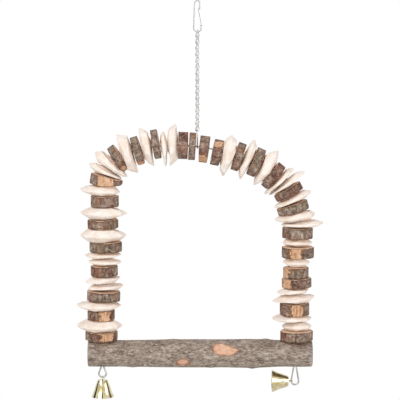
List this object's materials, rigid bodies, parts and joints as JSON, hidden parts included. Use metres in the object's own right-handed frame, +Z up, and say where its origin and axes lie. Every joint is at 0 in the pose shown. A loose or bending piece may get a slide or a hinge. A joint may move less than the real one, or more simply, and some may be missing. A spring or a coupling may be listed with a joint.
{
  "type": "bird swing",
  "caption": "Hanging bird swing: branch slices and hewn wood chips threaded on a bent wire arch over a branch perch, with bells, a chain and a snap hook.",
  "frame": {"origin": "inside top of the snap hook's bow, where it bears on the bar that it hangs from", "axes": "+Z up along the chain, +X along the perch to the viewer's right, +Y away from the viewer"},
  "size_m": [0.2191, 0.035, 0.3537],
  "materials": {
    "hook_steel": "nickel plated",
    "chain_steel": "zinc plated",
    "arch_steel": "zinc plated",
    "branch_bark": "natural bark",
    "perch_bark": "natural bark",
    "chip_wood": "hewn, unsealed",
    "brass": "polished plate"
  },
  "bodies": {
    "hook": {"hook_body": "hook_steel", "gate_rivet": "hook_steel"},
    "gate": {"hook_gate": "hook_steel"},
    "link_01": {"chain_link_01": "chain_steel"},
    "link_02": {"chain_link_02": "chain_steel"},
    "link_03": {"chain_link_03": "chain_steel"},
    "link_04": {"chain_link_04": "chain_steel"},
    "link_05": {"chain_link_05": "chain_steel"},
    "link_06": {"chain_link_06": "chain_steel"},
    "link_07": {"chain_link_07": "chain_steel"},
    "link_08": {"chain_link_08": "chain_steel"},
    "link_09": {"chain_link_09": "chain_steel"},
    "link_10": {"chain_link_10": "chain_steel"},
    "link_11": {"chain_link_11": "chain_steel"},
    "link_12": {"chain_link_12": "chain_steel"},
    "link_13": {"chain_link_13": "chain_steel"},
    "link_14": {"chain_link_14": "chain_steel"},
    "link_15": {"chain_link_15": "chain_steel"},
    "link_16": {"chain_link_16": "chain_steel"},
    "ring": {"connector_ring": "chain_steel"},
    "swing_frame": {"arch_wire": "arch_steel", "perch": "perch_bark", "left_shoulder_bark_discs": "branch_bark", "left_shoulder_wood_chips": "chip_wood", "right_shoulder_bark_discs": "branch_bark", "right_shoulder_wood_chips": "chip_wood"},
    "left_bell": {"bell_left": "brass", "bell_staple_left": "brass"},
    "left_clapper": {"bell_clapper_left": "brass"},
    "right_bell": {"bell_right": "brass", "bell_staple_right": "brass"},
    "right_clapper": {"bell_clapper_right": "brass"},
    "left_bead_01": {"left_01_bark_disc": "branch_bark"},
    "left_bead_02": {"left_02_wood_chip": "chip_wood"},
    "left_bead_03": {"left_03_bark_disc": "branch_bark"},
    "left_bead_04": {"left_04_wood_chip": "chip_wood"},
    "left_bead_05": {"left_05_bark_disc": "branch_bark"},
    "left_bead_06": {"left_06_wood_chip": "chip_wood"},
    "left_bead_07": {"left_07_wood_chip": "chip_wood"},
    "left_bead_08": {"left_08_bark_disc": "branch_bark"},
    "left_bead_09": {"left_09_wood_chip": "chip_wood"},
    "left_bead_10": {"left_10_wood_chip": "chip_wood"},
    "left_bead_11": {"left_11_bark_disc": "branch_bark"},
    "left_bead_12": {"left_12_wood_chip": "chip_wood"},
    "left_bead_13": {"left_13_bark_disc": "branch_bark"},
    "left_bead_14": {"left_14_wood_chip": "chip_wood"},
    "left_bead_15": {"left_15_bark_disc": "branch_bark"},
    "left_bead_16": {"left_16_wood_chip": "chip_wood"},
    "right_bead_01": {"right_01_bark_disc": "branch_bark"},
    "right_bead_02": {"right_02_wood_chip": "chip_wood"},
    "right_bead_03": {"right_03_wood_chip": "chip_wood"},
    "right_bead_04": {"right_04_bark_disc": "branch_bark"},
    "right_bead_05": {"right_05_wood_chip": "chip_wood"},
    "right_bead_06": {"right_06_wood_chip": "chip_wood"},
    "right_bead_07": {"right_07_bark_disc": "branch_bark"},
    "right_bead_08": {"right_08_bark_disc": "branch_bark"},
    "right_bead_09": {"right_09_wood_chip": "chip_wood"},
    "right_bead_10": {"right_10_bark_disc": "branch_bark"},
    "right_bead_11": {"right_11_wood_chip": "chip_wood"},
    "right_bead_12": {"right_12_bark_disc": "branch_bark"}
  },
  "joints": [
    {"name": "gate_open", "type": "hinge", "parent": "hook", "child": "gate", "pos_m": [0.0033, 0, -0.0201], "axis": [0, -1, 0], "range_deg": [0, 8], "stiffness_Nm_per_rad": 0.05},
    {"name": "left_bell_swing", "type": "hinge", "parent": "swing_frame", "child": "left_bell", "pos_m": [-0.08479, 0, -0.33093], "axis": [0, 1, 0], "range_deg": [-75, 75]},
    {"name": "right_bell_swing", "type": "hinge", "parent": "swing_frame", "child": "right_bell", "pos_m": [0.08721, 0, -0.33769], "axis": [0, 1, 0], "range_deg": [-185, 5]},
    {"name": "left_clapper_swing", "type": "hinge", "parent": "left_bell", "child": "left_clapper", "pos_m": [-0.08479, 0, -0.33968], "axis": [0, 1, 0], "range_deg": [-28, 28]},
    {"name": "right_clapper_swing", "type": "hinge", "parent": "right_bell", "child": "right_clapper", "pos_m": [0.07846, 0, -0.33769], "axis": [0, 1, 0], "range_deg": [-2, 54]},
    {"name": "ring_tilt", "type": "hinge", "parent": "link_16", "child": "ring", "pos_m": [0, 0, -0.11339], "axis": [1, 0, 0], "range_deg": [-35, 35]},
    {"name": "swing_tilt", "type": "hinge", "parent": "ring", "child": "swing_frame", "pos_m": [0, 0, -0.12697], "axis": [1, 0, 0], "range_deg": [-35, 35]},
    {"name": "chain_01", "type": "hinge", "parent": "hook", "child": "link_01", "pos_m": [0, 0, -0.0259], "axis": [1, 0, 0], "range_deg": [-35, 35]},
    {"name": "chain_02", "type": "hinge", "parent": "link_01", "child": "link_02", "pos_m": [0, 0, -0.0301], "axis": [0, 1, 0], "range_deg": [-35, 35]},
    {"name": "chain_03", "type": "hinge", "parent": "link_02", "child": "link_03", "pos_m": [0, 0, -0.03682], "axis": [-1, 0, 0], "range_deg": [-35, 35]},
    {"name": "chain_04", "type": "hinge", "parent": "link_03", "child": "link_04", "pos_m": [0, 0, -0.04104], "axis": [0, -1, 0], "range_deg": [-35, 35]},
    {"name": "chain_05", "type": "hinge", "parent": "link_04", "child": "link_05", "pos_m": [0, 0, -0.04775], "axis": [1, 0, 0], "range_deg": [-35, 35]},
    {"name": "chain_06", "type": "hinge", "parent": "link_05", "child": "link_06", "pos_m": [0, 0, -0.05198], "axis": [0, 1, 0], "range_deg": [-35, 35]},
    {"name": "chain_07", "type": "hinge", "parent": "link_06", "child": "link_07", "pos_m": [0, 0, -0.05869], "axis": [-1, 0, 0], "range_deg": [-35, 35]},
    {"name": "chain_08", "type": "hinge", "parent": "link_07", "child": "link_08", "pos_m": [0, 0, -0.06291], "axis": [0, -1, 0], "range_deg": [-35, 35]},
    {"name": "chain_09", "type": "hinge", "parent": "link_08", "child": "link_09", "pos_m": [0, 0, -0.06964], "axis": [1, 0, 0], "range_deg": [-35, 35]},
    {"name": "chain_10", "type": "hinge", "parent": "link_09", "child": "link_10", "pos_m": [0, 0, -0.07386], "axis": [0, 1, 0], "range_deg": [-35, 35]},
    {"name": "chain_11", "type": "hinge", "parent": "link_10", "child": "link_11", "pos_m": [0, 0, -0.08057], "axis": [-1, 0, 0], "range_deg": [-35, 35]},
    {"name": "chain_12", "type": "hinge", "parent": "link_11", "child": "link_12", "pos_m": [0, 0, -0.08479], "axis": [0, -1, 0], "range_deg": [-35, 35]},
    {"name": "chain_13", "type": "hinge", "parent": "link_12", "child": "link_13", "pos_m": [0, 0, -0.09151], "axis": [1, 0, 0], "range_deg": [-35, 35]},
    {"name": "chain_14", "type": "hinge", "parent": "link_13", "child": "link_14", "pos_m": [0, 0, -0.09574], "axis": [0, 1, 0], "range_deg": [-35, 35]},
    {"name": "chain_15", "type": "hinge", "parent": "link_14", "child": "link_15", "pos_m": [0, 0, -0.10246], "axis": [-1, 0, 0], "range_deg": [-35, 35]},
    {"name": "chain_16", "type": "hinge", "parent": "link_15", "child": "link_16", "pos_m": [0, 0, -0.10668], "axis": [0, -1, 0], "range_deg": [-35, 35]},
    {"name": "left_bead_01_spin", "type": "hinge", "parent": "swing_frame", "child": "left_bead_01", "pos_m": [-0.08359, 0, -0.3002], "axis": [0, 0, 1], "continuous": true},
    {"name": "left_bead_02_spin", "type": "hinge", "parent": "swing_frame", "child": "left_bead_02", "pos_m": [-0.08359, 0, -0.3002], "axis": [0, 0, 1], "continuous": true},
    {"name": "left_bead_03_spin", "type": "hinge", "parent": "swing_frame", "child": "left_bead_03", "pos_m": [-0.08359, 0, -0.3002], "axis": [0, 0, 1], "continuous": true},
    {"name": "left_bead_04_spin", "type": "hinge", "parent": "swing_frame", "child": "left_bead_04", "pos_m": [-0.08359, 0, -0.3002], "axis": [0, 0, 1], "continuous": true},
    {"name": "left_bead_05_spin", "type": "hinge", "parent": "swing_frame", "child": "left_bead_05", "pos_m": [-0.08359, 0, -0.3002], "axis": [0, 0, 1], "continuous": true},
    {"name": "left_bead_06_spin", "type": "hinge", "parent": "swing_frame", "child": "left_bead_06", "pos_m": [-0.08359, 0, -0.3002], "axis": [0, 0, 1], "continuous": true},
    {"name": "left_bead_07_spin", "type": "hinge", "parent": "swing_frame", "child": "left_bead_07", "pos_m": [-0.08359, 0, -0.3002], "axis": [0, 0, 1], "continuous": true},
    {"name": "left_bead_08_spin", "type": "hinge", "parent": "swing_frame", "child": "left_bead_08", "pos_m": [-0.08359, 0, -0.3002], "axis": [0, 0, 1], "continuous": true},
    {"name": "left_bead_09_spin", "type": "hinge", "parent": "swing_frame", "child": "left_bead_09", "pos_m": [-0.08359, 0, -0.3002], "axis": [0, 0, 1], "continuous": true},
    {"name": "left_bead_10_spin", "type": "hinge", "parent": "swing_frame", "child": "left_bead_10", "pos_m": [-0.08359, 0, -0.3002], "axis": [0, 0, 1], "continuous": true},
    {"name": "left_bead_11_spin", "type": "hinge", "parent": "swing_frame", "child": "left_bead_11", "pos_m": [-0.08359, 0, -0.3002], "axis": [0, 0, 1], "continuous": true},
    {"name": "left_bead_12_spin", "type": "hinge", "parent": "swing_frame", "child": "left_bead_12", "pos_m": [-0.08359, 0, -0.3002], "axis": [0, 0, 1], "continuous": true},
    {"name": "left_bead_13_spin", "type": "hinge", "parent": "swing_frame", "child": "left_bead_13", "pos_m": [-0.08359, 0, -0.3002], "axis": [0, 0, 1], "continuous": true},
    {"name": "left_bead_14_spin", "type": "hinge", "parent": "swing_frame", "child": "left_bead_14", "pos_m": [-0.08359, 0, -0.3002], "axis": [0, 0, 1], "continuous": true},
    {"name": "left_bead_15_spin", "type": "hinge", "parent": "swing_frame", "child": "left_bead_15", "pos_m": [-0.08359, 0, -0.3002], "axis": [0, 0, 1], "continuous": true},
    {"name": "left_bead_16_spin", "type": "hinge", "parent": "swing_frame", "child": "left_bead_16", "pos_m": [-0.08359, 0, -0.3002], "axis": [0, 0, 1], "continuous": true},
    {"name": "right_bead_01_spin", "type": "hinge", "parent": "swing_frame", "child": "right_bead_01", "pos_m": [0.08841, 0, -0.3002], "axis": [0, 0, 1], "continuous": true},
    {"name": "right_bead_02_spin", "type": "hinge", "parent": "swing_frame", "child": "right_bead_02", "pos_m": [0.08841, 0, -0.3002], "axis": [0, 0, 1], "continuous": true},
    {"name": "right_bead_03_spin", "type": "hinge", "parent": "swing_frame", "child": "right_bead_03", "pos_m": [0.08841, 0, -0.3002], "axis": [0, 0, 1], "continuous": true},
    {"name": "right_bead_04_spin", "type": "hinge", "parent": "swing_frame", "child": "right_bead_04", "pos_m": [0.08841, 0, -0.3002], "axis": [0, 0, 1], "continuous": true},
    {"name": "right_bead_05_spin", "type": "hinge", "parent": "swing_frame", "child": "right_bead_05", "pos_m": [0.08841, 0, -0.3002], "axis": [0, 0, 1], "continuous": true},
    {"name": "right_bead_06_spin", "type": "hinge", "parent": "swing_frame", "child": "right_bead_06", "pos_m": [0.08841, 0, -0.3002], "axis": [0, 0, 1], "continuous": true},
    {"name": "right_bead_07_spin", "type": "hinge", "parent": "swing_frame", "child": "right_bead_07", "pos_m": [0.08841, 0, -0.3002], "axis": [0, 0, 1], "continuous": true},
    {"name": "right_bead_08_spin", "type": "hinge", "parent": "swing_frame", "child": "right_bead_08", "pos_m": [0.08841, 0, -0.3002], "axis": [0, 0, 1], "continuous": true},
    {"name": "right_bead_09_spin", "type": "hinge", "parent": "swing_frame", "child": "right_bead_09", "pos_m": [0.08841, 0, -0.3002], "axis": [0, 0, 1], "continuous": true},
    {"name": "right_bead_10_spin", "type": "hinge", "parent": "swing_frame", "child": "right_bead_10", "pos_m": [0.08841, 0, -0.3002], "axis": [0, 0, 1], "continuous": true},
    {"name": "right_bead_11_spin", "type": "hinge", "parent": "swing_frame", "child": "right_bead_11", "pos_m": [0.08841, 0, -0.3002], "axis": [0, 0, 1], "continuous": true},
    {"name": "right_bead_12_spin", "type": "hinge", "parent": "swing_frame", "child": "right_bead_12", "pos_m": [0.08841, 0, -0.3002], "axis": [0, 0, 1], "continuous": true}
  ]
}
